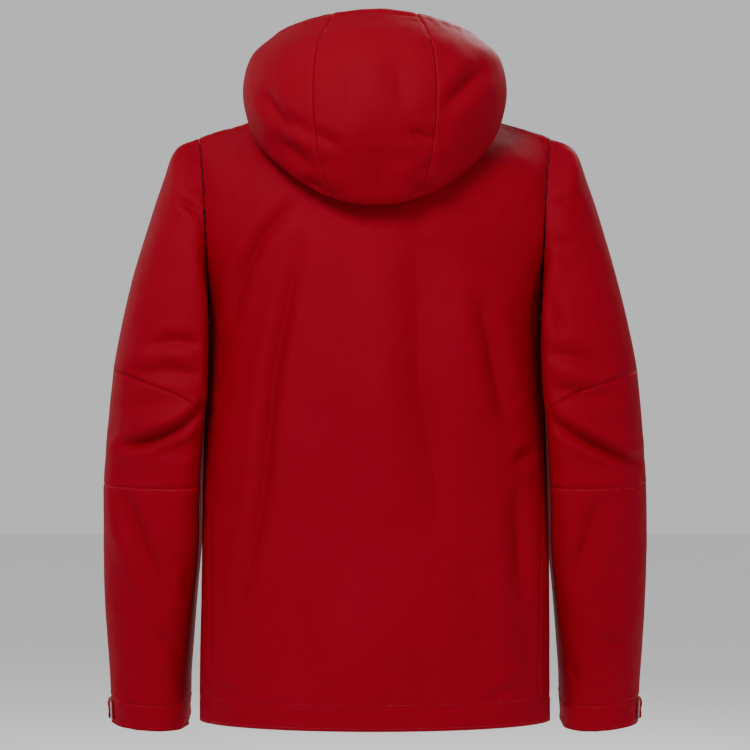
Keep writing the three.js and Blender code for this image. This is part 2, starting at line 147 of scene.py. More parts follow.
def rings(angle):
    """The body's levels over a stretch of each, from the angles of its front and back side seams."""
    return [lambda s, i=i: RINGS[i](angle(s, *SEAMS[i])) for i in range(len(RINGS))]


back_loft = loft(rings(lambda s, front, back: 180 - (180 - back) * s) + [
    arch((0, 120, -135), (208, 60, -150)), arch((0, 103, -66), (213, 40, -82)),
    top_level(lambda n: 180 - (180 - NECK_POINT) * n)])
front_surface = loft(rings(lambda s, front, back: front * s) + [
    arch((0, front_line(-160), -160), (207, -58, -150)),
    arch((0, front_line(-108), -108), (213, -40, -82)),
    top_level(lambda n: NECK_POINT * n)])
side_loft = loft(rings(lambda s, front, back: front + (back - front) * s))


def back_surface(s, v):
    return back_loft(-s, v)


def side_surface(s, v):
    one, zero = np.ones_like(s), np.zeros_like(s)
    front_gap = front_surface(one, v / 2) - side_loft(zero, v)
    back_gap = back_surface(-one, v / 2) - side_loft(one, v)
    return side_loft(s, v) + front_gap * (1 - s)[:, None] + back_gap * s[:, None]


def collar_top(angle):
    return neck_ring(angle, 74, 53, ZIP_TOP_Z, 44, 15, 2)


collar_surface = loft([neck_seam, collar_top])


def sleeve_ring(outer, inner, depth, hug, forward=0.0, tip=0.0):
    """A sleeve's level from its outer to its inner (x, z) point. hug hollows the side by the body."""
    def at(s):
        a = -2 * np.pi * s
        y = depth * np.sin(a)
        share = (np.cos(a) + 1) / 2
        x = inner[0] + (outer[0] - inner[0]) * share ** 1.5 - hug * np.sin(a) ** 2 * (1 - share)
        return vec(x, y - forward, inner[1] + (outer[1] - inner[1]) * share - tip * y)

    return at


UPPER = [sleeve_ring(*level) for level in (
    ([223, -33], [211, -262], 58, 14), ([247, -43], [213, -284], 64, 20),
    ([266, -86], [214, -308], 70, 28), ([288, -154], [215, -334], 74, 34),
    ([310, -234], [216, -360], 75, 36), ([327, -318], [217, -384], 73, 34),
    ([335, -398], [218, -404], 69, 32, 2),
)]
LOWER = [sleeve_ring(*level) for level in (
    ([336, -404], [218, -409], 68, 32, 2),
    ([338, -432], [219, -434], 67, 28, 6, 0.04),
    ([340, -460], [220, -460], 66, 24, 10, 0.08),
    ([342, -534], [221, -534], 62, 22, 24, 0.14),
    ([341, -626], [226, -626], 57, 8, 42, 0.17),
    ([337, -708], [232, -708], 52, 0, 57, 0.17),
    ([335, -765], [236, -765], 49, 0, 67, 0.17),
)]
upper_sleeve = loft(UPPER)
lower_sleeve = loft(LOWER)
elbow_sleeve = loft([UPPER[5], UPPER[6], LOWER[1], LOWER[2]])
ELBOW_TOP, ELBOW_SEAM, CUFF_SEAM = 5 / 6, 2 / 6, 5.4 / 6
TAB_V = (5.5 / 6, 5.92 / 6)


def hood_level(end, side, corner, back):
    """A level of the hood, from its left end round the back to its right end."""
    right = [[-p[0], p[1], p[2]] for p in (corner, side, end)]
    line = np.array([end, side, corner, back, *right], float)[:, None, :]
    return lambda s: spline(np.repeat(line, len(s), 1), (s + 1) / 2)


HOOD = [hood_level(*level) for level in (
    ([94, -14, 30], [112, 44, 2], [62, 92, -44], [0, 103, -58]),
    ([106, -20, 34], [147, 68, -28], [72, 130, -104], [0, 141, -121]),
    ([116, -24, 40], [159, 70, 0], [94, 152, -56], [0, 172, -66]),
    ([121, -26, 50], [161, 66, 32], [102, 156, 6], [0, 183, 2]),
    ([117, -26, 60], [151, 54, 68], [96, 134, 66], [0, 158, 74]),
    ([104, -26, 68], [126, 36, 92], [72, 92, 110], [0, 104, 119]),
)]
hood_surface = loft(HOOD)
HOOD_SEAM = 0.23


def hood_neck_low(s):
    seam = neck_seam(180 + s * 84)
    outward = seam * [1, 1, 0] + [0, 22, 0]
    outward /= np.linalg.norm(outward, axis=-1, keepdims=True)
    return seam + outward * 4 + [0, 0, 5]


def hood_neck_middle(s):
    return (hood_neck_low(s) + HOOD[0](s)) / 2 + [0, 3, 4]


hood_neck = loft([hood_neck_low, hood_neck_middle, HOOD[0]])

# ---- Folds ----
# Each fold is a line of (x, z) points, how far it stands out (less than 0 for a crease), and its width.
# BACK_FOLDS are seen from behind, on the body and then the sleeves. FRONT_FOLDS are seen from the front.

BACK_FOLDS = [
    ([(90, -167), (108, -246), (124, -325), (132, -404), (139, -477), (151, -537), (163, -598)], -6, 8),
    ([(102, -119), (136, -155), (157, -192), (168, -224), (175, -258)], -5.5, 8),
    ([(-49, -155), (-54, -246), (-55, -331), (-70, -416), (-79, -507)], -8, 22),
    ([(-128, -234), (-145, -301), (-158, -373)], -5, 10),
    ([(-170, -434), (-186, -423), (-201, -416)], -4, 7),
    ([(-176, -464), (-179, -531), (-182, -598)], -5.5, 13),
    ([(-182, -622), (-196, -664), (-207, -707)], -3, 15),
    ([(24, -234), (36, -355), (42, -477), (36, -586)], -3, 26),
    ([(-116, -549), (-128, -622), (-125, -695)], -2.5, 16),
    ([(90, -598), (84, -658), (93, -707)], -2.5, 18),
    ([(205, -721), (187, -709), (169, -718)], -2.5, 5),
    ([(-140, -718), (-164, -707), (-188, -717)], -2.5, 6),
    ([(242, -110), (226, -118), (208, -129)], -4, 5),
    ([(276, -288), (245, -282), (214, -288)], -4.5, 7),
    ([(300, -325), (257, -319), (214, -325)], -5, 8),
    ([(314, -414), (276, -405), (239, -389), (207, -366)], -9, 5.5),
    ([(306, -396), (270, -388), (236, -371), (210, -350)], 2.6, 12),
    ([(316, -448), (300, -509), (282, -552), (263, -601)], -6, 10),
    ([(220, -478), (214, -497), (208, -515)], -2.5, 5),
    ([(226, -564), (229, -583), (231, -601)], -2.5, 6),
    ([(276, -650), (253, -662), (239, -685)], -2.5, 8),
    ([(-215, -110), (-230, -109), (-249, -111)], -3.5, 5),
    ([(-215, -162), (-230, -163), (-249, -162)], -2.5, 6),
    ([(-215, -233), (-223, -258), (-230, -282)], -3, 7),
    ([(-209, -297), (-242, -300), (-277, -312)], -5, 8),
    ([(-215, -343), (-252, -346), (-291, -356)], -5, 8),
    ([(-217, -383), (-258, -405), (-289, -420), (-324, -434)], -9, 5.5),
    ([(-224, -366), (-262, -388), (-292, -402), (-318, -414)], 2.6, 12),
    ([(-277, -478), (-264, -528), (-246, -577)], -5, 11),
    ([(-283, -650), (-299, -659), (-314, -669)], -3, 6),
    ([(-234, -675), (-244, -693), (-252, -712)], -3, 6),
]
FRONT_FOLDS = [
    ([(196, -240), (150, -300), (112, -380), (92, -470)], -4.5, 11),
    ([(-196, -246), (-158, -310), (-126, -400), (-110, -500)], -4.5, 11),
    ([(185, -290), (168, -380), (176, -470)], -3.5, 14),
    ([(-186, -300), (-172, -400), (-182, -500)], -3.5, 14),
    ([(60, -120), (48, -220), (52, -330)], -3, 18),
    ([(-64, -130), (-50, -230), (-56, -350)], -3, 18),
    ([(80, -560), (72, -640), (84, -715)], -3, 14),
    ([(-84, -550), (-70, -640), (-80, -715)], -3, 14),
    ([(300, -392), (262, -398), (226, -386)], -6, 7),
    ([(-300, -398), (-262, -402), (-226, -390)], -6, 7),
    ([(296, -432), (256, -428), (224, -436)], -5, 8),
    ([(-296, -436), (-256, -430), (-224, -438)], -5, 8),
    ([(282, -250), (246, -262), (220, -252)], -3, 9),
    ([(-282, -252), (-246, -264), (-220, -256)], -3, 9),
    ([(300, -620), (272, -600), (246, -610)], -3, 8),
    ([(-300, -616), (-272, -602), (-246, -612)], -3, 8),
]
HOOD_FOLDS = [
    ([(101, -22), (74, -37), (47, -51)], -5, 6),
    ([(118, -45), (91, -67), (65, -81)], -5, 7),
    ([(134, 14), (122, -7), (106, -28)], -5, 7),
    ([(85, -94), (65, -105), (45, -116)], -6, 8),
    ([(-42, -37), (-60, -44), (-77, -45)], -5, 6),
    ([(-60, -57), (-60, -79)], 5, 12),
    ([(-134, 46), (-105, 16), (-76, -12)], -6, 9),
    ([(-48, -101), (-66, -109)], -6, 9),
    ([(35, 50), (29, 14), (34, -22)], -2.5, 14),
    ([(-30, 56), (-28, 20), (-33, -12)], -2.5, 14),
    ([(-1, -57), (-7, -87), (-4, -111)], -3, 13),
]


FOLD_DEPTH = 1.5
RIDGE_SHARE, RIDGE_OFF, RIDGE_WIDTH = 0.3, 2.3, 1.2


def fold_height(x, z, folds):
    """How far the folds move each point. A crease has a soft ridge along each side."""
    total = np.zeros_like(x)
    for line, height, width in folds:
        best = np.full(x.shape, 1e9)
        at = np.zeros_like(x)
        lengths = [math.dist(a, b) for a, b in zip(line, line[1:])]
        done = 0.0
        for (ax, az), (bx, bz), length in zip(line, line[1:], lengths):
            t = np.clip(((x - ax) * (bx - ax) + (z - az) * (bz - az)) / length ** 2, 0, 1)
            d = np.hypot(x - ax - t * (bx - ax), z - az - t * (bz - az))
            nearer = d < best
            best = np.where(nearer, d, best)
            at = np.where(nearer, (done + t * length) / sum(lengths), at)
            done += length
        taper = 0.25 + 0.75 * np.sin(np.pi * np.clip(at, 0, 1)) ** 0.6
        crease = np.exp(-(best / width) ** 1.35)
        ridge = RIDGE_SHARE * bell((best - RIDGE_OFF * width) / (RIDGE_WIDTH * width))
        total += FOLD_DEPTH * height * taper * (crease - ridge)
    return total


def waves(points, wavelength, seed, count=16):
    """Smooth seeded unevenness of about unit height."""
    rng = np.random.default_rng(seed)
    total = np.zeros(points.shape[:-1])
    for _ in range(count):
        direction = rng.normal(size=3)
        direction /= np.linalg.norm(direction)
        direction *= 2 * np.pi / (wavelength * rng.uniform(0.7, 1.5))
        total += np.sin(points @ direction + rng.uniform(0, 2 * np.pi))
    return total / math.sqrt(count / 2)


def smooth(x):
    x = np.clip(x, 0, 1)
    return x * x * (3 - 2 * x)


def bell(x):
    return np.exp(-x ** 2)


ELBOW_Z, ELBOW_REACH, UPPER_ARM_X = -412, 48, 215
BODY_EDGE_X, HUG_Z, PULLED_IN = 205, -330, 1.8


def drape(points, normals, hood):
    """The cloth's own relief, along its normal: folds, slow and fine unevenness, and a rumpled elbow."""
    x, z = points[..., 0], points[..., 2]
    behind = smooth(normals[..., 1] * 1.6 + 0.35)
    ahead = smooth(-normals[..., 1] * 1.6 + 0.1)
    if hood:
        relief = fold_height(x, z, HOOD_FOLDS) * behind
    else:
        relief = fold_height(x, z, BACK_FOLDS) * behind + fold_height(x, z, FRONT_FOLDS) * ahead
    relief += 0.75 * waves(points, 150, 11)
    creased = 1 - np.abs(waves(points * [1, 1, 0.6], 62, 12)) / 1.4
    relief += 0.4 * np.clip(creased, -0.6, 1) ** 3
    relief += 0.12 * waves(points, 24, 13)
    near_elbow = bell((z - ELBOW_Z) / ELBOW_REACH) * smooth((np.abs(x) - UPPER_ARM_X) / 20)
    relief += 0.8 * near_elbow * waves(points * [0.35, 0.6, 1.0], 30, 14)
    outline = 0.3 + 0.7 * smooth(np.abs(normals[..., 1]) * 1.8)
    towards_body = smooth(-np.sign(x) * normals[..., 0] * 1.6 - 0.2)
    towards_body = towards_body * smooth((np.abs(x) - BODY_EDGE_X) / 6)
    pulled_in = PULLED_IN * towards_body * smooth((-z + HUG_Z) / 40)
    return relief * outline * (1 - 0.7 * towards_body) - pulled_in


PROUD_X, PROUD_HEIGHT = 212, 5.5
PROUD_REACH_X, PROUD_REACH_Z = 40, 42


def raise_shoulders(points):
    """The shoulder stands a little proud over the top of the sleeve."""
    aside = (np.abs(points[..., 0]) - PROUD_X) / PROUD_REACH_X
    above = (points[..., 2] - SHOULDER_Z) / PROUD_REACH_Z
    points = points.copy()
    points[..., 2] += PROUD_HEIGHT * np.exp(-aside ** 2 - above ** 2)
    return points


# ---- Mesh makers ----


def grid_normals(points, closed):
    if closed:
        along = np.roll(points, -1, 1) - np.roll(points, 1, 1)
    else:
        along = np.gradient(points, axis=1)
    up = np.gradient(points, axis=0)
    normals = np.cross(along, up)
    return normals / np.maximum(np.linalg.norm(normals, axis=-1, keepdims=True), 1e-9)


def walk(points, axis):
    """The distance along a grid's lines from their first point."""
    step = np.linalg.norm(np.diff(points, axis=axis), axis=-1)
    zero = np.zeros_like(np.take(step, [0], axis))
    return np.concatenate([zero, np.cumsum(step, axis)], axis)


def cut_size(points, across, up, closed):
    """(width, length, area) in metres that a grid takes when it is laid flat, without its folds."""
    if closed:
        points = np.concatenate([points, points[:, :1]], 1)
        across = walk(points, 1)
    one = np.cross(points[:-1, 1:] - points[:-1, :-1], points[1:, :-1] - points[:-1, :-1])
    two = np.cross(points[1:, :-1] - points[1:, 1:], points[:-1, 1:] - points[1:, 1:])
    area = (np.linalg.norm(one, axis=-1).sum() + np.linalg.norm(two, axis=-1).sum()) / 2
    return across.max() * MM, up.max() * MM, area * MM * MM


def add_object(name, data):
    obj = bpy.data.objects.new(name, data)
    bpy.context.scene.collection.objects.link(obj)
    return obj


def mesh_object(name, vertices, faces, materials, face_materials=None, uv=None, seam=None):
    mesh = bpy.data.meshes.new(name)
    mesh.from_pydata((vertices + SHIFT) * MM, [], faces)
    for material in materials:
        mesh.materials.append(material)
    mesh.polygons.foreach_set("use_smooth", np.ones(len(mesh.polygons), bool))
    if face_materials is not None:
        mesh.polygons.foreach_set("material_index", np.asarray(face_materials, np.int32))
    if uv is not None:
        corner = np.zeros(len(mesh.loops), np.int32)
        mesh.loops.foreach_get("vertex_index", corner)
        layer = mesh.uv_layers.new(name="Cloth")
        layer.data.foreach_set("uv", (uv[corner] * MM).astype(np.float32).ravel())
    if seam is not None:
        attribute = mesh.attributes.new("seam_mm", "FLOAT", "POINT")
        attribute.data.foreach_set("value", seam.astype(np.float32))
    mesh.update()
    return add_object(name, mesh)


GRIDS = {}     # each cloth's outer points, normals and distances across and up
STITCHES = {}  # each body's stitches
ROLL_WIDTH = 2.2    # how wide a seam's edge rolls in
PUCKER_WIDTH = 9    # how far a seam puckers the cloth beside it
CALM_WIDTH = 30     # how far the cloth's relief is held back beside an edge


def cloth(name, surface, s, v, look, closed=False, mirror=False, offset=0.0, thick=FABRIC,
          seams="lrbt", relief=1.0, hood=False, hem=None, cell=None, roll=0.95, shape=None,
          base=None, lined=True, plain=""):
    """A thin closed sheet on a surface, over its s and v.

    seams names the edges (l, r, low b, high t) that roll in to meet a neighbour, and plain those that run on
    into one. hem is how far a stitched fold is from the low edge, or below 0 from the high one. base moves
    the surface's points, and shape the finished cloth's.
    """
    cell = cell or CELL
    probe = surface(np.linspace(s[0], s[1], 60), np.full(60, (v[0] + v[1]) / 2))
    ns = max(6, int(walk(probe, 0)[-1] / cell))
    probe = surface(np.full(60, s[0] + 0.3 * (s[1] - s[0])), np.linspace(v[0], v[1], 60))
    nv = max(4, int(walk(probe, 0)[-1] / cell) + 1)
    ss = np.linspace(s[0], s[1], ns + 1)
    if closed:
        ss = ss[:-1]
    grid_s, grid_v = np.meshgrid(ss, np.linspace(v[0], v[1], nv + 1))
    points = surface(grid_s.ravel(), grid_v.ravel()).reshape(*grid_s.shape, 3)
    if base is not None:
        points = base(points)
    if mirror:
        points = (points * [-1, 1, 1])[:, ::-1]
    points = raise_shoulders(points)
    normals = grid_normals(points, closed)
    across, up = walk(points, 1), walk(points, 0)
    cut_size(points, across, up, closed)
    left, right = across, across[:, -1:] - across
    low, high = up, up[-1:] - up
    if mirror:
        left, right = right, left
    edges = {"b": low, "t": high} if closed else {"l": left, "r": right, "b": low, "t": high}
    far = np.full(across.shape, 1e3)
    rolled = np.minimum.reduce([far] + [edges[key] for key in edges if key in seams])
    edge = np.minimum.reduce([far] + [edges[key] for key in edges if key not in plain])
    height = offset - roll * bell(rolled / ROLL_WIDTH)
    if relief:
        calm = 0.35 + 0.65 * smooth(edge / CALM_WIDTH)
        height = height + relief * calm * drape(points, normals, hood)
        height = height + bell(rolled / PUCKER_WIDTH) * 0.35 * waves(points, 15, 21)
    if hem is not None:
        distance = (low if hem > 0 else high) - abs(hem)
        height = height - 0.8 * bell(distance / 1.6)
        height = height + 0.5 * waves(points, 17, 22) * bell(distance / 8)
    outer = points + normals * height[..., None]
    if shape is not None:
        outer = shape(outer)
    inner = outer - normals * thick
    normals = grid_normals(outer, closed)
    rows, columns = outer.shape[:2]
    count = rows * columns
    number = np.arange(count).reshape(rows, columns)
    turned = np.concatenate([number, number[:, :1]], 1) if closed else number
    corners = [turned[:-1, :-1], turned[:-1, 1:], turned[1:, 1:], turned[1:, :-1]]
    quads = np.stack(corners, -1).reshape(-1, 4)
    faces = [quads, quads[:, [0, 3, 2, 1]] + count]
    kinds = [np.zeros(len(quads)), np.ones(len(quads))]
    softness = [np.ones(2 * len(quads), bool)]

    def rim(line, soft=True):
        a, b = line[:-1], line[1:]
        faces.append(np.stack([b, a, a + count, b + count], -1))
        kinds.append(np.zeros(len(a)))
        softness.append(np.full(len(a), soft))

    rim(turned[0], "b" not in plain)
    rim(turned[-1][::-1], "t" not in plain)
    if not closed:
        rim(turned[:, 0][::-1])
        rim(turned[:, -1])
    uv = np.stack([across - across[:, columns // 2][:, None], up], -1).reshape(-1, 2)
    inside = BACKER if look is SHELL and lined else look
    obj = mesh_object(name, np.concatenate([outer.reshape(-1, 3), inner.reshape(-1, 3)]),
                      np.concatenate(faces).tolist(), [look, inside], np.concatenate(kinds),
                      np.concatenate([uv, uv]), np.tile(edge.ravel(), 2))
    obj.data.polygons.foreach_set("use_smooth", np.concatenate(softness))
    GRIDS[name] = (outer, normals, across, up)
    return obj


def stitch_row(body, line, normals, pitch=3.2, length=2.3, radius=0.28, lift=0.1):
    """Stitches along a line of points, each a small pointed bead, kept for one mesh for each body."""
    distance = walk(line, 0)
    count = int(distance[-1] / pitch)
    at = (np.arange(count) + 0.5) * pitch

    def along(where, values):
        return np.stack([np.interp(where, distance, values[:, k]) for k in range(3)], -1)

    middle = along(at, line)
    out = along(at, normals)
    run = along(at + 0.5, line) - along(at - 0.5, line)
    run /= np.maximum(np.linalg.norm(run, axis=-1, keepdims=True), 1e-9)
    side = np.cross(run, out)
    middle = middle + out * lift
    ring_points = [middle + run * length / 2, middle + side * radius, middle + out * radius,
                   middle - side * radius, middle - out * radius, middle - run * length / 2]
    STITCHES.setdefault(body, []).append(np.stack(ring_points, 1))


def grid_row(name, kind, distance):
    """A line across a made cloth's grid, so far from its low b, high t, left l or right r edge."""
    outer, normals, across, up = GRIDS[name]
    if kind in "bt":
        measure = up if kind == "b" else up[-1:] - up
        index = np.argmin(np.abs(measure - distance), 0)
        columns = np.arange(outer.shape[1])
        return outer[index, columns], normals[index, columns]
    measure = across if kind == "l" else across[:, -1:] - across
    index = np.argmin(np.abs(measure - distance), 1)
    rows = np.arange(outer.shape[0])
    return outer[rows, index], normals[rows, index]


def sew(body, name, *rows, **style):
    """Topstitches a made cloth along rows, each an edge's letter and how far in from it."""
    kernel = np.ones(5) / 5
    for kind, distance in rows:
        line, normals = grid_row(name, kind, distance)
        padded = np.pad(line, ((2, 2), (0, 0)), mode="edge")
        line = np.stack([np.convolve(padded[:, k], kernel, "valid") for k in range(3)], -1)
        stitch_row(body, line, normals, **style)


# ---- Materials ----


class Graph:
    """A material with a Principled shader, and short ways to add nodes to it."""

    def __init__(self, name, roughness, metallic=0.0, sheen=0.0, specular=0.5):
        self.material = bpy.data.materials.new(name)
        self.material.use_nodes = True
        self.tree = self.material.node_tree
        self.shader = self.tree.nodes["Principled BSDF"]
        for key, value in (("Roughness", roughness), ("Metallic", metallic), ("Sheen Weight", sheen),
                           ("Sheen Roughness", 0.4), ("Specular IOR Level", specular)):
            self.shader.inputs[key].default_value = value

    def node(self, kind, **inputs):
        made = self.tree.nodes.new(kind)
        for key, value in inputs.items():
            self.put(made, key.replace("_", " "), value)
        return made

    def put(self, node, key, value):
        socket = node.inputs[int(key) if str(key).isdigit() else key]
        if isinstance(value, bpy.types.NodeSocket):
            self.tree.links.new(value, socket)
        else:
            socket.default_value = value

    def math(self, operation, a, b=0.0, c=0.0):
        node = self.tree.nodes.new("ShaderNodeMath")
        node.operation = operation
        for index, value in enumerate((a, b, c)):
            self.put(node, index, value)
        return node.outputs[0]

    def noise(self, vector, scale, detail=3.0):
        node = self.node("ShaderNodeTexNoise", Vector=vector, Scale=scale, Detail=detail)
        return node.outputs["Fac"]

    def wave(self, vector, scale, direction):
        node = self.node("ShaderNodeTexWave", Vector=vector, Scale=scale, Distortion=0.0)
        node.bands_direction = direction
        return node.outputs["Fac"]

    def mix(self, share, a, b):
        node = self.tree.nodes.new("ShaderNodeMix")
        node.data_type = "RGBA"
        self.put(node, 0, share)
        for index, value in ((6, a), (7, b)):
            self.put(node, index, value if isinstance(value, bpy.types.NodeSocket) else (*value, 1))
        return node.outputs[2]

    def bump(self, height, strength, distance, normal=None):
        node = self.node("ShaderNodeBump", Height=height, Strength=strength, Distance=distance)
        if normal is not None:
            self.put(node, "Normal", normal)
        return node.outputs["Normal"]

    def finish(self, colour, normal=None, roughness=None):
        plain_colour = not isinstance(colour, bpy.types.NodeSocket)
        self.put(self.shader, "Base Color", (*colour, 1) if plain_colour else colour)
        if normal is not None:
            self.put(self.shader, "Normal", normal)
        if roughness is not None:
            self.put(self.shader, "Roughness", roughness)
        return self.material


def fabric(name, base, light, weave=1150.0, roughness=0.66, sheen=0.25, wear=None, tape=None, bump=0.35):
    """A woven cloth: warp and weft in its own UV metres, soft mottling, fine creasing and worn edges."""
    g = Graph(name, roughness, sheen=sheen, specular=0.05)
    cloth_uv = g.node("ShaderNodeUVMap")
    cloth_uv.uv_map = "Cloth"
    uv = cloth_uv.outputs["UV"]
    place = g.node("ShaderNodeTexCoord").outputs["Object"]
    warp = g.wave(uv, weave, "X")
    weft = g.wave(uv, weave * 0.94, "Y")
    threads = g.math("MAXIMUM", warp, weft)
    mottle = g.noise(place, 7.0, 4.0)
    slub = g.noise(uv, 420.0, 2.0)
    share = g.math("MULTIPLY_ADD", slub, 0.3, g.math("MULTIPLY", mottle, 0.8))
    colour = g.mix(share, base, light)
    seam = g.node("ShaderNodeAttribute")
    seam.attribute_name = "seam_mm"
    distance = seam.outputs["Fac"]
    rough = g.math("MULTIPLY_ADD", mottle, 0.16, roughness - 0.08)
    if wear is not None:
        rubbed = g.math("SUBTRACT", 1.0, g.math("MULTIPLY", distance, 0.3))
        patchy = g.math("ADD", g.noise(place, 90.0), 0.1)
        rubbed = g.math("MAXIMUM", g.math("MULTIPLY", rubbed, patchy), 0.0)
        colour = g.mix(g.math("MULTIPLY", rubbed, 0.55), colour, wear)
    if tape is not None:
        on_tape = g.math("LESS_THAN", distance, 11.0)
        colour = g.mix(g.math("MULTIPLY", on_tape, 0.8), colour, tape)
        rough = g.math("SUBTRACT", rough, g.math("MULTIPLY", on_tape, 0.25))
    fine = g.bump(threads, bump, 0.00008)
    crinkle = g.bump(g.noise(place, 55.0, 5.0), 0.5, 0.0007, fine)
    return g.finish(colour, crinkle, rough)


def hard(name, base, light, roughness, metallic=0.0):
    """Moulded or cast: fine grain, uneven shine, and edges rubbed light."""
    g = Graph(name, roughness, metallic)
    place = g.node("ShaderNodeTexCoord").outputs["Object"]
    grain = g.noise(place, 300.0, 4.0)
    marks = g.noise(place, 40.0, 3.0)
    rough = g.math("MULTIPLY_ADD", marks, 0.25, roughness - 0.1)
    edge = g.node("ShaderNodeNewGeometry").outputs["Pointiness"]
    worn = g.math("MULTIPLY", g.math("SUBTRACT", edge, 0.52), 6.0)
    worn = g.math("MINIMUM", g.math("MAXIMUM", worn, 0.0), 0.7)
    colour = g.mix(worn, g.mix(grain, base, light), light)
    return g.finish(colour, g.bump(grain, 0.2, 0.0001), rough)


RED, RED_LIGHT = (0.172, 0.0002, 0.0062), (0.215, 0.0006, 0.0088)
SHELL = fabric("shell_fabric", RED, RED_LIGHT, sheen=0.0, wear=(0.27, 0.004, 0.012))
MATERIALS = {
    "backer": fabric("backer_fabric", (0.20, 0.205, 0.215), (0.27, 0.275, 0.285), 900.0, 0.7, 0.15,
                     tape=(0.42, 0.425, 0.44)),
    "film": fabric("zip_film", (0.10, 0.0012, 0.004), (0.13, 0.002, 0.006), 1600.0, 0.38, 0.1, bump=0.15),
    "pile": fabric("loop_pile", (0.13, 0.002, 0.005), (0.2, 0.006, 0.012), 700.0, 0.95, 0.6, bump=1.0),
    "webbing": fabric("loop_webbing", (0.012, 0.012, 0.013), (0.03, 0.03, 0.032), 420.0, 0.75, 0.3, bump=0.9),
    "foam": fabric("brim_foam", (0.02, 0.02, 0.022), (0.04, 0.04, 0.044), 700.0, 0.8, 0.1),
    "thread": fabric("sewing_thread", (0.20, 0.002, 0.007), (0.30, 0.008, 0.014), 2200.0, 0.6, 0.3),
    "coil": hard("zip_coil_nylon", (0.018, 0.006, 0.007), (0.04, 0.014, 0.016), 0.42),
    "metal": hard("slider_metal", (0.05, 0.05, 0.053), (0.32, 0.32, 0.33), 0.34, 0.9),
    "plastic": hard("pull_plastic", (0.012, 0.012, 0.013), (0.05, 0.05, 0.053), 0.5),
    "lock": hard("cord_lock_plastic", (0.014, 0.014, 0.015), (0.05, 0.05, 0.053), 0.45),
}

BACKER = MATERIALS["backer"]

# ---- Cloth pieces ----


def place(obj, node, body, slot="shell_fabric"):
    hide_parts(node)
    if body:
        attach(obj, body)
    return obj


HEM_FOLD = 30
back = cloth("back_panel_cloth", back_surface, [-1, 1], [0, 1], SHELL, seams="lrt", hem=HEM_FOLD)
place(back, "back_panel", "torso")
sew("torso", "back_panel_cloth", ("b", HEM_FOLD), ("b", 2.5), ("t", 4))


def frame_at(origin, outward, up):
    """Columns are the zip's X, Y (out) and Z (up) axes, and its origin."""
    z = np.array(up, float) / np.linalg.norm(up)
    y = np.array(outward, float) - z * np.dot(outward, z)
    y /= np.linalg.norm(y)
    return np.stack([np.cross(y, z), y, z, np.array(origin, float)], 1)


def surface_normal(surface, s, v, step=1e-3):
    a = surface(np.array([s + step, s - step]), np.array([v, v]))
    b = surface(np.array([s, s]), np.array([v + step, v - step]))
    n = np.cross(a[0] - a[1], b[0] - b[1])
    return n / np.linalg.norm(n)


def pocket_zip(s, v):
    ends = front_surface(np.array([s, s]), np.array(v, float))
    up = ends[1] - ends[0]
    axes = frame_at((ends[0] + ends[1]) / 2, surface_normal(front_surface, s, sum(v) / 2), up)
    return axes, float(np.linalg.norm(up))


HAND_ZIP = pocket_zip(0.62, [0.14, 0.36])
CHEST_ZIP = pocket_zip(0.405, [0.52, 0.66])
SLIT_WIDTH, SLIT_SHORTER = 13.0, 12.0  # a pocket's slit, and how much shorter it is than its tape


def flip(mirror):
    return np.array([-1, 1, 1] if mirror else [1, 1, 1])


def in_frame(axes, local, mirror=False):
    return (np.asarray(local, float) @ axes[:, :3].T + axes[:, 3]) * flip(mirror)


def slit_outline(length, margin=0.0):
    """A pocket slit's outline (across, up) with round ends, or a line that far outside it."""
    straight = (length - SLIT_SHORTER - SLIT_WIDTH) / 2
    radius = SLIT_WIDTH / 2 + margin
    angles = np.linspace(0, np.pi, 13)
    top = np.stack([radius * np.cos(angles), straight + radius * np.sin(angles)], -1)
    return np.concatenate([top, -top])


def cut_slit(panel, zip_place, mirror):
    """Opens a pocket zip's slit through a panel."""
    axes, length = zip_place
    outline = slit_outline(length)
    count = len(outline)
    rows = [np.insert(outline, 1, depth, axis=1) for depth in (-9.0, 9.0)]
    points = in_frame(axes, np.concatenate(rows), mirror)
    lower, upper = np.arange(count), np.arange(count) + count
    faces = [lower.tolist(), upper[::-1].tolist()]
    faces += [[i, i + count, (i + 1) % count + count, (i + 1) % count] for i in range(count)]
    if mirror:
        faces = [f[::-1] for f in faces]
    cutter = mesh_object("slit", points, faces, [SHELL])
    boolean = panel.modifiers.new("slit", "BOOLEAN")
    boolean.object = cutter
    boolean.operation = "DIFFERENCE"
    boolean.solver = "EXACT"
    bpy.context.view_layer.update()
    graph = bpy.context.evaluated_depsgraph_get()
    mesh = bpy.data.meshes.new_from_object(panel.evaluated_get(graph), depsgraph=graph)
    panel.modifiers.clear()
    panel.data = mesh
    bpy.data.objects.remove(cutter)


def sew_slit(body, zip_place, mirror, margin):
    """Topstitches a panel round a pocket's slit."""
    axes, length = zip_place
    outline = slit_outline(length, margin)
    outline = np.concatenate([outline, outline[:1]])
    line = in_frame(axes, np.insert(outline, 1, 0.0, axis=1), mirror)
    normal = axes[:, 1] * flip(mirror)
    fine = np.linspace(0, 1, 240)
    distance = walk(line, 0)
    line = np.stack([np.interp(fine * distance[-1], distance, line[:, k]) for k in range(3)], -1)
    line = on_panel(line, normal, "front_panel_cloth" + ("_right" if mirror else "_left"))
    stitch_row(body, line, np.repeat(normal[None], len(line), 0), pitch=2.8, length=2.0)


def on_panel(line, normal, name):
    """Moves a line of points along a normal onto a made cloth."""
    outer = GRIDS[name][0].reshape(-1, 3)
    result = line.copy()
    for i, point in enumerate(line):
        flat = outer - point
        height = flat @ normal
        aside = np.linalg.norm(flat - height[:, None] * normal, axis=1)
        near = np.argsort(aside)[:4]
        weight = 1 / (aside[near] + 0.3)
        result[i] = point + normal * (height[near] * weight).sum() / weight.sum()
    return result


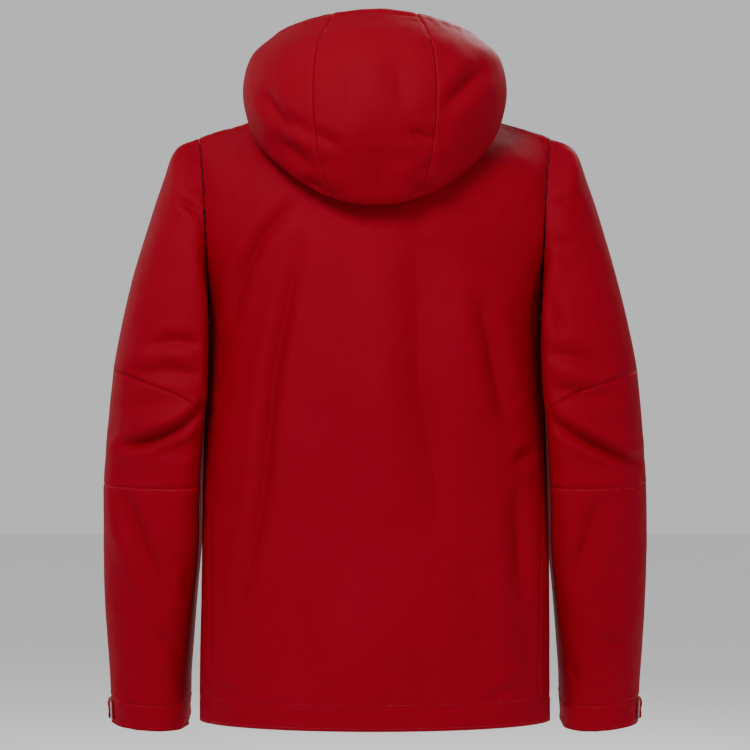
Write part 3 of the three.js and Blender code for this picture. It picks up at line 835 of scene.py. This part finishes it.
def flatten_at(zips):
    """Cloth lies flat beside a pocket zip, level with the zip's frame."""
    def shape(points):
        for axes, length, mirror in zips:
            local = (points * flip(mirror) - axes[:, 3]) @ axes[:, :3]
            share = 1 - smooth((np.abs(local[..., 0]) - 9) / 16)
            share = share * (1 - smooth((np.abs(local[..., 2]) - length / 2 + 4) / 16))
            target = local.copy()
            target[..., 1] = np.clip(local[..., 1], -1.5, 1.2)
            points = points + (in_frame(axes, target, mirror) - points) * share[..., None]
        return points

    return shape


for suffix, mirror in SIDES:
    zips = [HAND_ZIP] if mirror else [HAND_ZIP, CHEST_ZIP]
    name = "front_panel_cloth" + suffix
    panel = cloth(name, front_surface, [0.026, 1], [0, 1], SHELL, mirror=mirror, seams="rt", hem=HEM_FOLD,
                  shape=flatten_at([(axes, length, mirror) for axes, length in zips]))
    for zip_place in zips:
        cut_slit(panel, zip_place, mirror)
        sew_slit("torso", zip_place, mirror, 2.6)
    place(panel, "front_panel" + suffix, "torso")
    sew("torso", name, ("b", HEM_FOLD), ("r" if mirror else "l", 3.0), ("t", 4))
    side = cloth("side_panel_cloth" + suffix, side_surface, [0, 1], [0, 1], SHELL, mirror=mirror,
                 seams="lrt", hem=HEM_FOLD)
    place(side, "side_panel" + suffix, "torso")
    sew("torso", "side_panel_cloth" + suffix, ("b", HEM_FOLD))
    bag = cloth("hand_pocket_bag_cloth" + suffix, front_surface, [0.22, 0.78], [0.1, 0.42],
                BACKER, mirror=mirror, offset=-13.2, thick=0.5, relief=0.12, cell=9)
    place(bag, "hand_pocket_bag" + suffix, "torso", "backer_fabric")

bag = cloth("chest_pocket_bag_cloth", front_surface, [0.2, 0.56], [0.47, 0.7], BACKER,
            offset=-13.2, thick=0.5, relief=0.12, cell=9)
place(bag, "chest_pocket_bag", "torso", "backer_fabric")

facing = cloth("hem_facing_cloth", body_tube, [13, 347], [0, 33 / 155 / 3], SHELL, offset=-5.6, thick=0.8,
               relief=0.12, cell=6, seams="")
place(facing, "hem_facing", "torso")

collar = cloth("collar_cloth", collar_surface, [5.4, 354.6], [0, 1], SHELL, relief=0.35, hem=-6, roll=1.0,
               seams="b")
place(collar, "collar", "torso")
sew("torso", "collar_cloth", ("t", 6), ("b", 4))
lining = cloth("collar_lining_cloth", collar_surface, [16, 344], [0.06, 0.985], BACKER,
               offset=-9.6, thick=1.4, relief=0.2, seams="")
place(lining, "collar_lining", "torso", "backer_fabric")
sew("torso", "collar_lining_cloth", ("t", 3))
guard = cloth("chin_guard_cloth", collar_surface, [-13, 13], [0.3, 0.92], BACKER,
              offset=-11.6, thick=1.4, relief=0.1)
place(guard, "chin_guard", "torso", "backer_fabric")

# ---- Sleeves ----


def armhole_line():
    """The body's armhole edge on the wearer's left, from the shoulder down the front and up the back."""
    n = 120
    one, zero, run = np.ones(n), np.zeros(n), np.linspace(0, 1, n)
    front = front_surface(one, 1 - run * 0.5)
    under = side_surface(run, one)
    back = back_surface(-one, 0.5 + run * 0.5)
    return np.concatenate([front, under[1:], back[1:]])


ARMHOLE = armhole_line()
SET_IN_REACH = 42  # how far down a sleeve the armhole draws it in


def set_in(points):
    """Draws a sleeve's top edge onto the armhole, so that the two are sewn together."""
    top = points[0]
    gap = np.linalg.norm(ARMHOLE[None] - top[:, None], axis=-1)
    nearest = ARMHOLE[np.argmin(gap, 1)]
    kernel = np.ones(7) / 7
    looped = np.concatenate([nearest[-3:], nearest, nearest[:3]])
    target = np.stack([np.convolve(looped[:, k], kernel, "valid") for k in range(3)], -1)
    move = target - top + [0.6, 0, 0]
    share = 1 - smooth(walk(points, 0) / SET_IN_REACH)
    return points + move[None] * share[..., None]


for suffix, mirror in SIDES:
    body_up, body_low = "upper_sleeve" + suffix, "lower_sleeve" + suffix
    sign = -1 if mirror else 1
    sleeve = cloth("upper_sleeve_cloth" + suffix, upper_sleeve, [0, 1], [0, ELBOW_TOP], SHELL, closed=True,
                   mirror=mirror, base=set_in, seams="b", plain="t")
    place(sleeve, "upper_sleeve" + suffix, None)
    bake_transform(sleeve)
    elbow = cloth("elbow_panel_cloth" + suffix, elbow_sleeve, [0, 1], [0, 1], SHELL, closed=True,
                  mirror=mirror, seams="t", plain="b")
    place(elbow, "elbow_panel" + suffix, None)
    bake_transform(elbow)
    fore = cloth("lower_sleeve_cloth" + suffix, lower_sleeve, [0, 1], [ELBOW_SEAM, CUFF_SEAM], SHELL,
                 closed=True, mirror=mirror)
    place(fore, "lower_sleeve" + suffix, body_low)
    cuff = cloth("cuff_cloth" + suffix, lower_sleeve, [0, 1], [CUFF_SEAM, 1], SHELL, closed=True,
                 mirror=mirror, relief=0.5, seams="b", hem=-4)
    place(cuff, "cuff" + suffix, body_low)
    sew(body_low, "cuff_cloth" + suffix, ("t", 4), ("b", 4))
    sew(body_low, "lower_sleeve_cloth" + suffix, ("b", 3.5))
    patch = cloth("cuff_loop_patch_cloth" + suffix, lower_sleeve, [-0.05, 0.13], TAB_V, MATERIALS["pile"],
                  mirror=mirror, offset=1.9, thick=1.4, relief=0.4, seams="", cell=2.5)
    place(patch, "cuff_loop_patch" + suffix, body_low, "loop_pile")
    tab = cloth("cuff_tab_cloth" + suffix, lower_sleeve, [-0.02, 0.29], TAB_V, SHELL, mirror=mirror,
                offset=4.4, thick=2.0, relief=0.3, roll=0.9, cell=2.0, lined=False)
    place(tab, "cuff_tab" + suffix, "cuff_tab" + suffix)
    sew("cuff_tab" + suffix, "cuff_tab_cloth" + suffix, ("b", 3.5), ("t", 3.5), pitch=2.8, length=2.0)

# ---- Hood ----

centre = cloth("hood_center_panel_cloth", hood_surface, [-HOOD_SEAM, HOOD_SEAM], [0, 1], SHELL,
               hood=True, seams="lr", hem=-9)
place(centre, "hood_center_panel", "hood")
sew("hood", "hood_center_panel_cloth", ("t", 9), ("l", 4), ("r", 4))
for suffix, mirror in SIDES:
    name = "hood_side_panel_cloth" + suffix
    panel = cloth(name, hood_surface, [-1, -HOOD_SEAM], [0, 1], SHELL, mirror=mirror, hood=True, seams="r",
                  hem=-9)
    place(panel, "hood_side_panel" + suffix, "hood")
    sew("hood", name, ("t", 9), ("r" if mirror else "l", 5))
facing = cloth("hood_facing_cloth", hood_surface, [-0.98, 0.98], [0.9, 0.99], BACKER,
               offset=-6.4, thick=1.2, relief=0.5, hood=True, seams="")
place(facing, "hood_facing", "hood", "backer_fabric")
brim = cloth("brim_stiffener_sheet", hood_surface, [-0.4, 0.4], [0.86, 0.982], MATERIALS["foam"],
             offset=-3.8, thick=1.2, relief=0.5, hood=True, seams="", cell=7)
place(brim, "brim_stiffener", "hood", "brim_foam")
neck = cloth("hood_neck_cloth", hood_neck, [-0.5, 0.5], [0, 1], SHELL, relief=0.25, hood=True, seams="",
             lined=False)
place(neck, "hood_neck", None)
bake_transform(neck)
for suffix, mirror in SIDES:
    sign = -1 if mirror else 1
    neck = cloth("hood_neck_side_cloth" + suffix, hood_neck, [-0.97, -0.46], [0, 1], SHELL, mirror=mirror,
                 relief=0.25, hood=True, seams="", lined=False, offset=-0.4)
    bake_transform(neck)

# ---- Zips ----

TAPE_OUT, TAPE_IN = -4.6, -6.0
COIL_OUT, COIL_IN = -6.3, -8.2
LINK_NEAR, LINK_FAR = 0.1, 3.7


def strip(name, axes, x, z, y_out, y_in, look, mirror=False, wavy=0.0):
    """A flat strip in a zip's frame, with softly uneven cloth."""
    def flat(s, v):
        local = vec(x[1] + (x[0] - x[1]) * s, y_out, z[0] + (z[1] - z[0]) * v)
        return in_frame(axes, local)

    return cloth(name, flat, [0, 1], [0, 1], look, mirror=mirror, thick=y_out - y_in, relief=wavy,
                 seams="", cell=3.5)


def teeth(name, axes, sign, z, pitch, mirror=False):
    """One side of a coil: a small rounded link at each pitch, the two sides half a pitch apart."""
    start = z[0] + (pitch / 2 if sign > 0 else 0) + pitch / 2
    at = np.arange(start, z[1], pitch)
    x = sign * np.repeat([LINK_NEAR, LINK_FAR], 4)
    y = COIL_IN + (COIL_OUT - COIL_IN) * np.tile([0.0, 0.5, 1.0, 0.5], 2)
    dz = np.tile([0.0, pitch * 0.4, 0.0, -pitch * 0.4], 2) * np.repeat([0.75, 1.0], 4)
    local = np.stack([np.tile(x, (len(at), 1)), np.tile(y, (len(at), 1)), at[:, None] + dz], -1)
    quads = [[0, 1, 2, 3], [7, 6, 5, 4]] + [[k, k + 4, (k + 1) % 4 + 4, (k + 1) % 4] for k in range(4)]
    quads = np.array(quads)
    if (sign < 0) == mirror:
        quads = quads[:, ::-1]
    faces = (quads[None] + 8 * np.arange(len(at))[:, None, None]).reshape(-1, 4)
    count = len(local) * 8
    return mesh_object(name, in_frame(axes, local.reshape(-1, 3), mirror), faces.tolist(),
                       [MATERIALS["coil"]], uv=np.zeros((count, 2)), seam=np.full(count, 9.0))


front_up, front_out = np.array([0, FRONT_SLOPE, 1]), np.array([0, -1, FRONT_SLOPE])
zip_length = (ZIP_TOP_Z - HEM_Z) * float(np.linalg.norm(front_up))
middle_z = (ZIP_TOP_Z + HEM_Z) / 2
FRONT_ZIP = frame_at([0, front_line(middle_z), middle_z], front_out, front_up)
half_zip = zip_length / 2
for side, sign in (("left", -1), ("right", 1)):
    x = sorted([sign * 0.55, sign * 13.7])
    tape = strip("zip_tape_cloth_" + side, FRONT_ZIP, x, [-half_zip, half_zip], TAPE_OUT, TAPE_IN,
                 MATERIALS["film"])
    place(tape, "zip_tape_" + side, "torso", "zip_film")
    links = teeth("zip_coil_links_" + side, FRONT_ZIP, sign, [-half_zip + 12, half_zip], 1.5)
    place(links, "zip_coil_" + side, "torso", "zip_coil_nylon")
flap_low, flap_high = HEM_Z + 40 - middle_z, -75 - middle_z
flap = strip("storm_flap_cloth", FRONT_ZIP, [-23, 23], [flap_low, flap_high], -11.75, -13.25, SHELL,
             wavy=0.1)
place(flap, "storm_flap", "torso")
sew("torso", "storm_flap_cloth", ("l", 3), ("r", 3))


def pocket_tape(name, node, zip_place, mirror):
    """A pocket zip's tape: both halves and their coils in one piece."""
    axes, length = zip_place
    halves = []
    for sign in (-1, 1):
        x = sorted([sign * 0.4, sign * 13.0])
        halves.append(strip(f"{name}_half", axes, x, [-length / 2, length / 2], TAPE_OUT, TAPE_IN,
                            MATERIALS["film"], mirror))
        halves.append(teeth(f"{name}_links", axes, sign, [-length / 2 + 5, length / 2 - 5], 1.4, mirror))
    tape = halves[0]
    with bpy.context.temp_override(active_object=tape, selected_editable_objects=halves, object=tape):
        bpy.ops.object.join()
    tape.name = name
    place(tape, node, "torso", "zip_film")


for suffix, mirror in SIDES:
    pocket_tape("hand_zip_tape_cloth" + suffix, "hand_zip_tape" + suffix, HAND_ZIP, mirror)
pocket_tape("chest_zip_tape_cloth", "chest_zip_tape", CHEST_ZIP, False)


PULL_FACE = 5.3                     # how far a pull's outer face stands in front of its zip
RIB_COUNT, RIB_PITCH, RIB_HALF = 6, 2.6, 2.6
RIB_SECTION = ((0, -0.7), (0.6, -0.35), (0.6, 0.35), (0, 0.7))


def ribs(name, body, axes, park, length, mirror=False):
    """Raised grip ribs across the outer face of a pull that hangs from park."""
    boxes = []
    for k in range(RIB_COUNT):
        z = park - length + 3 + k * RIB_PITCH
        boxes += [[dx, PULL_FACE + dy, z + dz] for dx in (-RIB_HALF, RIB_HALF) for dy, dz in RIB_SECTION]
    points = in_frame(axes, boxes, mirror)
    faces = []
    for k in range(RIB_COUNT):
        b = 8 * k
        faces += [[b, b + 1, b + 5, b + 4], [b + 1, b + 2, b + 6, b + 5], [b + 2, b + 3, b + 7, b + 6],
                  [b + 3, b, b + 4, b + 7], [b + 3, b + 2, b + 1, b], [b + 4, b + 5, b + 6, b + 7]]
    if not mirror:
        faces = [f[::-1] for f in faces]
    obj = mesh_object(name, points, faces, [MATERIALS["plastic"]])
    obj.data.polygons.foreach_set("use_smooth", np.zeros(len(faces), bool))
    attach(obj, body)


ribs("zip_pull_ribs", "zip_pull", FRONT_ZIP, half_zip - 11.5, 38)
for suffix, mirror in SIDES:
    ribs("hand_zip_pull_ribs" + suffix, "hand_zip_pull" + suffix, HAND_ZIP[0], HAND_ZIP[1] / 2 - 16.5, 30,
         mirror)
ribs("chest_zip_pull_ribs", "chest_zip_pull", CHEST_ZIP[0], CHEST_ZIP[1] / 2 - 16.5, 30)

# ---- Hanger loop ----

LOOP_LOW, LOOP_HEIGHT = 8.0, 10.0
LOOP_HALF = [(9, 28.8), (14, 29.6), (18.5, 34), (24.5, 38.2), (32, 38.2)]
LOOP_LINE = [(-x, y) for x, y in reversed(LOOP_HALF)] + [(0, 28.8)] + LOOP_HALF
LOOP_LINE = np.array([(x, y, LOOP_LOW) for x, y in LOOP_LINE], float)


def loop_surface(s, v):
    line = spline(np.repeat(LOOP_LINE[:, None], len(s), 1), 1 - s)
    return line + np.stack([0 * v, 0 * v, LOOP_HEIGHT * v], -1)


loop = cloth("hanger_loop_webbing", loop_surface, [0, 1], [0, 1], MATERIALS["webbing"], offset=0.8,
             thick=1.6, relief=0, seams="", cell=1.0)
place(loop, "hanger_loop", "torso", "loop_webbing")

# ---- Hard pieces ----


def dress(node, look, width):
    """Gives a hard piece its material and rounds its edges by width."""
    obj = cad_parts[node]
    obj.data.materials.clear()
    obj.data.materials.append(MATERIALS[look])
    bevel = obj.modifiers.new("edges", "BEVEL")
    bevel.width = width * MM
    bevel.segments = 2
    bevel.limit_method = "ANGLE"
    bevel.angle_limit = math.radians(40)
    bevel.use_clamp_overlap = True


for suffix, _ in SIDES:
    for node, look, width in (
        ("hand_zip_slider", "metal", 0.35), ("hand_zip_pull", "plastic", 0.6), ("hem_cord_lock", "lock", 0.8),
        ("hem_cord_lock_button", "lock", 0.5), ("hem_eyelet", "metal", 0.25),
    ):
        dress(node + suffix, look, width)
for node, look, width in (
    ("zip_slider", "metal", 0.35), ("zip_pull", "plastic", 0.6), ("chest_zip_slider", "metal", 0.35),
    ("chest_zip_pull", "plastic", 0.6), ("zip_box", "plastic", 0.4), ("zip_pin", "plastic", 0.4),
):
    dress(node, look, width)

# ---- Stitches ----

OCTAHEDRON = np.array([[0, 1, 2], [0, 2, 3], [0, 3, 4], [0, 4, 1],
                       [5, 2, 1], [5, 3, 2], [5, 4, 3], [5, 1, 4]])
for body, rows in STITCHES.items():
    beads = np.concatenate(rows)
    faces = (OCTAHEDRON[None] + 6 * np.arange(len(beads))[:, None, None]).reshape(-1, 3)
    points = beads.reshape(-1, 3)
    obj = mesh_object("stitching_" + body, points, faces.tolist(), [MATERIALS["thread"]],
                      uv=points[:, :2], seam=np.full(len(points), 9.0))
    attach(obj, body)

# ---- Floor, light and camera ----


FLOOR_Z, FLOOR_HALF = -1.25, 12             # metres
CAMERA_FAR, CAMERA_Z = 3.3, -0.325          # metres from the layout's origin
AIM = Vector((0, 0, -0.35))
LAMPS = (                                   # name, place, size, power
    ("key", (0.9, 2.3, 1.7), 1.1, 95), ("fill", (-2.2, 2.0, 0.5), 1.8, 18),
    ("front_key", (-1.0, -2.4, 1.6), 1.1, 80), ("front_fill", (2.2, -1.8, 0.4), 1.8, 18),
)


def studio():
    pale = Graph("pale_floor", 0.9)
    pale.finish((0.86, 0.86, 0.86))
    mesh = bpy.data.meshes.new("floor")
    corners = [(x * FLOOR_HALF, y * FLOOR_HALF, FLOOR_Z) for x, y in ((-1, -1), (1, -1), (1, 1), (-1, 1))]
    mesh.from_pydata(corners, [], [(0, 1, 2, 3)])
    mesh.materials.append(pale.material)
    add_object("floor", mesh)
    world = bpy.data.worlds.new("studio")
    bpy.context.scene.world = world
    world.use_nodes = True
    background = world.node_tree.nodes["Background"]
    background.inputs["Color"].default_value = (1, 1, 1, 1)
    background.inputs["Strength"].default_value = 0.62
    for name, spot, size, power in LAMPS:
        light = bpy.data.lights.new(name, "AREA")
        light.size = size
        light.energy = power
        lamp = add_object(name, light)
        lamp.location = spot
        lamp.rotation_euler = (AIM - Vector(spot)).to_track_quat("-Z", "Y").to_euler()
    camera = bpy.data.cameras.new("camera")
    camera.lens = 126.7
    camera.sensor_width = 36
    camera.dof.use_dof = False
    view = add_object("camera", camera)
    view.location = (0, CAMERA_FAR + SHIFT[1] * MM, CAMERA_Z + SHIFT[2] * MM)
    view.rotation_euler = (math.radians(90), 0, math.radians(180))
    bpy.context.scene.camera = view


studio()
